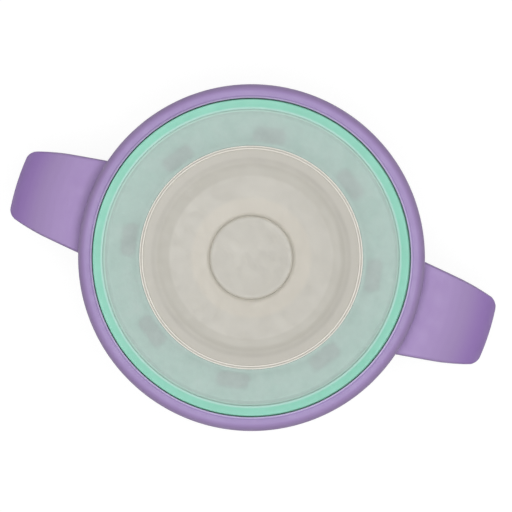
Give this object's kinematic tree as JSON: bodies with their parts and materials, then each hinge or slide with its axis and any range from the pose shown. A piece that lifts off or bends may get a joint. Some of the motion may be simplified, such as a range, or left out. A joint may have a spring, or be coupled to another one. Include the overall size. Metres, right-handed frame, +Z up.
{
  "type": "training cup",
  "caption": "Two-handled training cup: screw-neck tumbler, ring with two handles, and a lid with a screw collar, round drinking rim and soft valve disc.",
  "frame": {"origin": "on the table, under the middle of the cup's foot", "axes": "+Z up along the cup's axis, +X through one handle, +Y square to the handles"},
  "size_m": [0.1298, 0.0888, 0.1055],
  "materials": {
    "frosted_body": "natural frosted polypropylene, lets light through",
    "lilac_plastic": "satin moulded polypropylene, lilac",
    "clear_silicone": "soft translucent silicone",
    "mint_plastic": "satin moulded polypropylene, mint",
    "frosted_silicone": "frosted translucent silicone",
    "frosted_disc": "frosted translucent polypropylene"
  },
  "bodies": {
    "cup": {"cup_body": "frosted_body"},
    "handles": {"handle_ring": "lilac_plastic"},
    "lid": {"drinking_rim": "mint_plastic", "rim_gasket": "clear_silicone"},
    "collar": {"collar": "lilac_plastic"},
    "valve": {"valve_membrane": "frosted_silicone", "valve_hub": "frosted_disc"}
  },
  "joints": [
    {"name": "handle_turn", "type": "hinge", "parent": "cup", "child": "handles", "pos_m": [0, 0, 0.0757], "axis": [0, 0, 1], "continuous": true},
    {"name": "lid_lift", "type": "slide", "parent": "cup", "child": "lid", "axis": [0, 0, 1], "range_m": [0, 0.014]},
    {"name": "collar_turn", "type": "hinge", "parent": "lid", "child": "collar", "pos_m": [0, 0, 0.0894], "axis": [0, 0, 1], "range_deg": [0, 612]},
    {"name": "valve_pull", "type": "slide", "parent": "lid", "child": "valve", "axis": [0, 0, 1], "range_m": [0, 0.02]}
  ],
  "couplings": [
    {"joint": "lid_lift", "follows": "collar_turn", "m_per_rad": 0.0012732}
  ]
}
